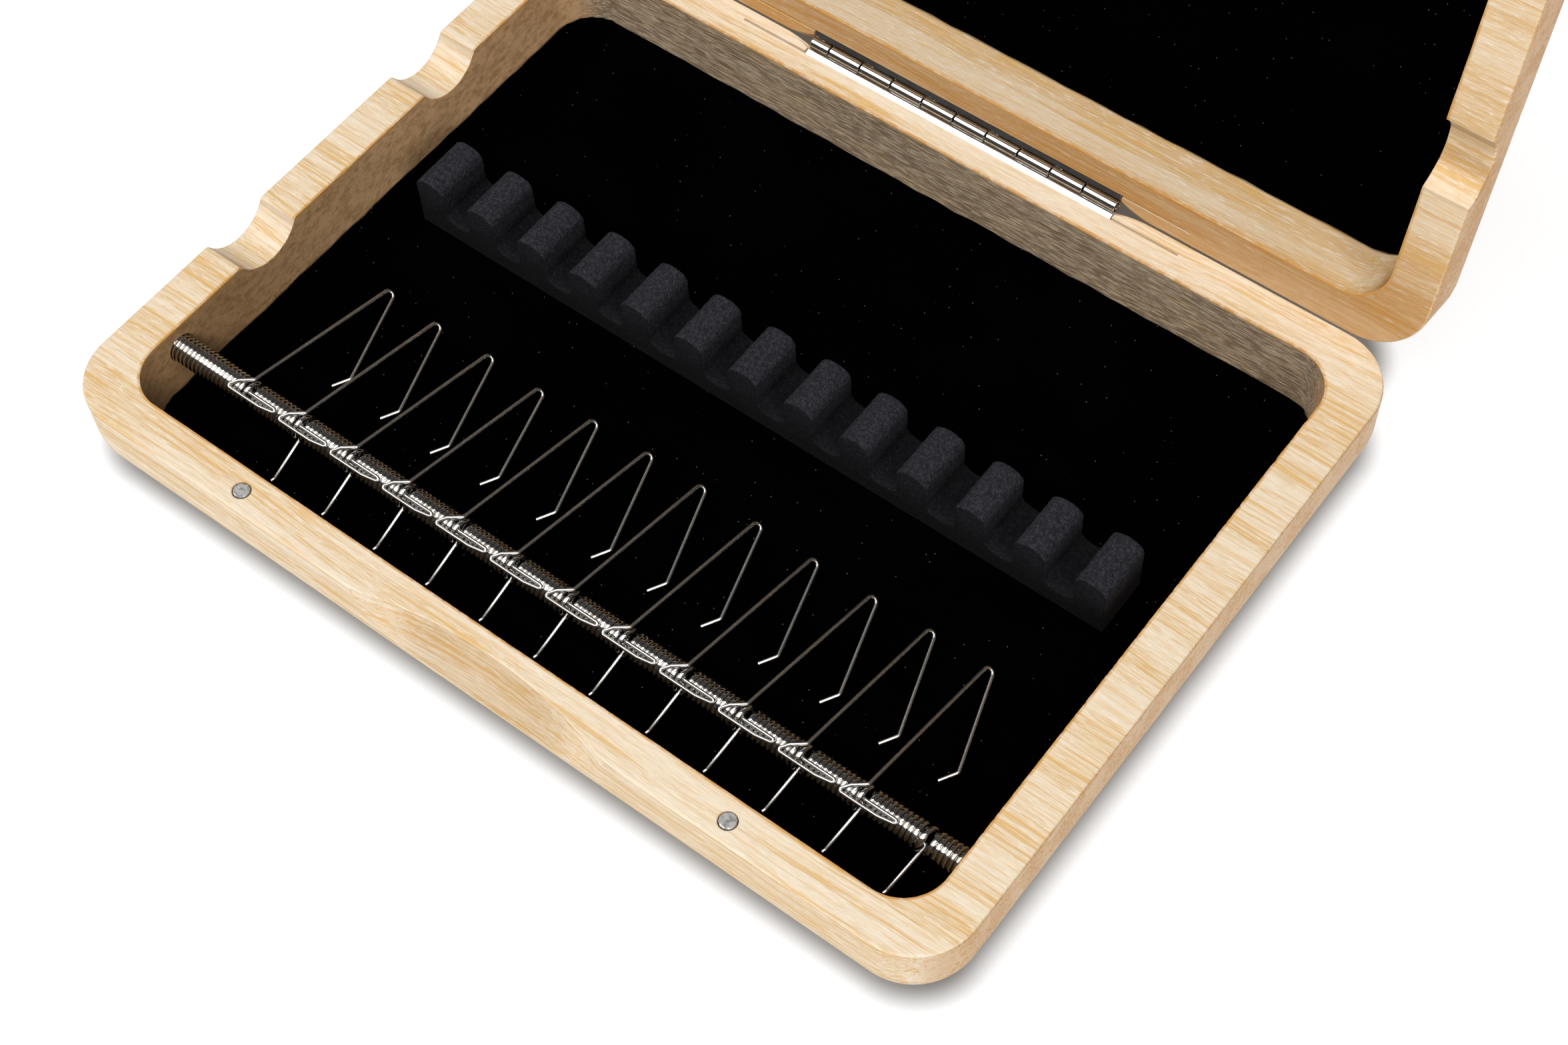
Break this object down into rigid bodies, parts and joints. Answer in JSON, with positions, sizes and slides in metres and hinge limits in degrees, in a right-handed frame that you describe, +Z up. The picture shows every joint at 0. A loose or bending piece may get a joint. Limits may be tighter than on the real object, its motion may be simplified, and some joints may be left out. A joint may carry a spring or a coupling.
{
  "type": "oboe reed case",
  "caption": "Flat hinged hardwood case with magnets, a coil spring with wire clips and a grooved foam rack, holding oboe reeds in a felt-lined pocket.",
  "frame": {"origin": "middle of the base's flat underside, on the surface it stands on", "axes": "+X along the length to the right seen from the thumb scoop, +Y back towards the hinge, +Z up"},
  "size_m": [0.155, 0.1521, 0.1294],
  "materials": {
    "wood": "oiled pale hardwood",
    "felt": "black flocking",
    "foam": "charcoal closed-cell foam",
    "nickel": "polished nickel",
    "magnet": "dull scratched plating"
  },
  "bodies": {
    "base": {"base_frame": "wood", "base_felt": "felt", "base_magnet_left": "magnet", "base_magnet_right": "magnet", "hinge_leaf_base": "nickel", "hinge_pin": "nickel", "reed_spring": "nickel", "foam_rack": "foam"},
    "lid": {"lid_frame": "wood", "lid_felt": "felt", "lid_magnet_left": "magnet", "lid_magnet_right": "magnet", "hinge_leaf_lid": "nickel"},
    "clip_01": {"reed_clip_01": "nickel"},
    "clip_02": {"reed_clip_02": "nickel"},
    "clip_03": {"reed_clip_03": "nickel"},
    "clip_04": {"reed_clip_04": "nickel"},
    "clip_05": {"reed_clip_05": "nickel"},
    "clip_06": {"reed_clip_06": "nickel"},
    "clip_07": {"reed_clip_07": "nickel"},
    "clip_08": {"reed_clip_08": "nickel"},
    "clip_09": {"reed_clip_09": "nickel"},
    "clip_10": {"reed_clip_10": "nickel"},
    "clip_11": {"reed_clip_11": "nickel"},
    "clip_12": {"reed_clip_12": "nickel"}
  },
  "joints": [
    {"name": "lid_hinge", "type": "hinge", "parent": "base", "child": "lid", "pos_m": [0, 0.0582, 0.01515], "axis": [1, 0, 0], "range_deg": [0, 101]},
    {"name": "reed_clip_01_pivot", "type": "hinge", "parent": "base", "child": "clip_01", "pos_m": [-0.0567, -0.04036, 0.01058], "axis": [1, 0, 0], "range_deg": [-6, 12], "stiffness_Nm_per_rad": 0.005},
    {"name": "reed_clip_02_pivot", "type": "hinge", "parent": "base", "child": "clip_02", "pos_m": [-0.0467, -0.04036, 0.01058], "axis": [1, 0, 0], "range_deg": [-6, 12], "stiffness_Nm_per_rad": 0.005},
    {"name": "reed_clip_03_pivot", "type": "hinge", "parent": "base", "child": "clip_03", "pos_m": [-0.0367, -0.04036, 0.01058], "axis": [1, 0, 0], "range_deg": [-6, 12], "stiffness_Nm_per_rad": 0.005},
    {"name": "reed_clip_04_pivot", "type": "hinge", "parent": "base", "child": "clip_04", "pos_m": [-0.0267, -0.04036, 0.01058], "axis": [1, 0, 0], "range_deg": [-6, 12], "stiffness_Nm_per_rad": 0.005},
    {"name": "reed_clip_05_pivot", "type": "hinge", "parent": "base", "child": "clip_05", "pos_m": [-0.0167, -0.04036, 0.01058], "axis": [1, 0, 0], "range_deg": [-6, 12], "stiffness_Nm_per_rad": 0.005},
    {"name": "reed_clip_06_pivot", "type": "hinge", "parent": "base", "child": "clip_06", "pos_m": [-0.0067, -0.04036, 0.01058], "axis": [1, 0, 0], "range_deg": [-6, 12], "stiffness_Nm_per_rad": 0.005},
    {"name": "reed_clip_07_pivot", "type": "hinge", "parent": "base", "child": "clip_07", "pos_m": [0.0033, -0.04036, 0.01058], "axis": [1, 0, 0], "range_deg": [-6, 12], "stiffness_Nm_per_rad": 0.005},
    {"name": "reed_clip_08_pivot", "type": "hinge", "parent": "base", "child": "clip_08", "pos_m": [0.0133, -0.04036, 0.01058], "axis": [1, 0, 0], "range_deg": [-6, 12], "stiffness_Nm_per_rad": 0.005},
    {"name": "reed_clip_09_pivot", "type": "hinge", "parent": "base", "child": "clip_09", "pos_m": [0.0233, -0.04036, 0.01058], "axis": [1, 0, 0], "range_deg": [-6, 12], "stiffness_Nm_per_rad": 0.005},
    {"name": "reed_clip_10_pivot", "type": "hinge", "parent": "base", "child": "clip_10", "pos_m": [0.0333, -0.04036, 0.01058], "axis": [1, 0, 0], "range_deg": [-6, 12], "stiffness_Nm_per_rad": 0.005},
    {"name": "reed_clip_11_pivot", "type": "hinge", "parent": "base", "child": "clip_11", "pos_m": [0.0433, -0.04036, 0.01058], "axis": [1, 0, 0], "range_deg": [-6, 12], "stiffness_Nm_per_rad": 0.005},
    {"name": "reed_clip_12_pivot", "type": "hinge", "parent": "base", "child": "clip_12", "pos_m": [0.0533, -0.04036, 0.01058], "axis": [1, 0, 0], "range_deg": [-6, 12], "stiffness_Nm_per_rad": 0.005}
  ]
}
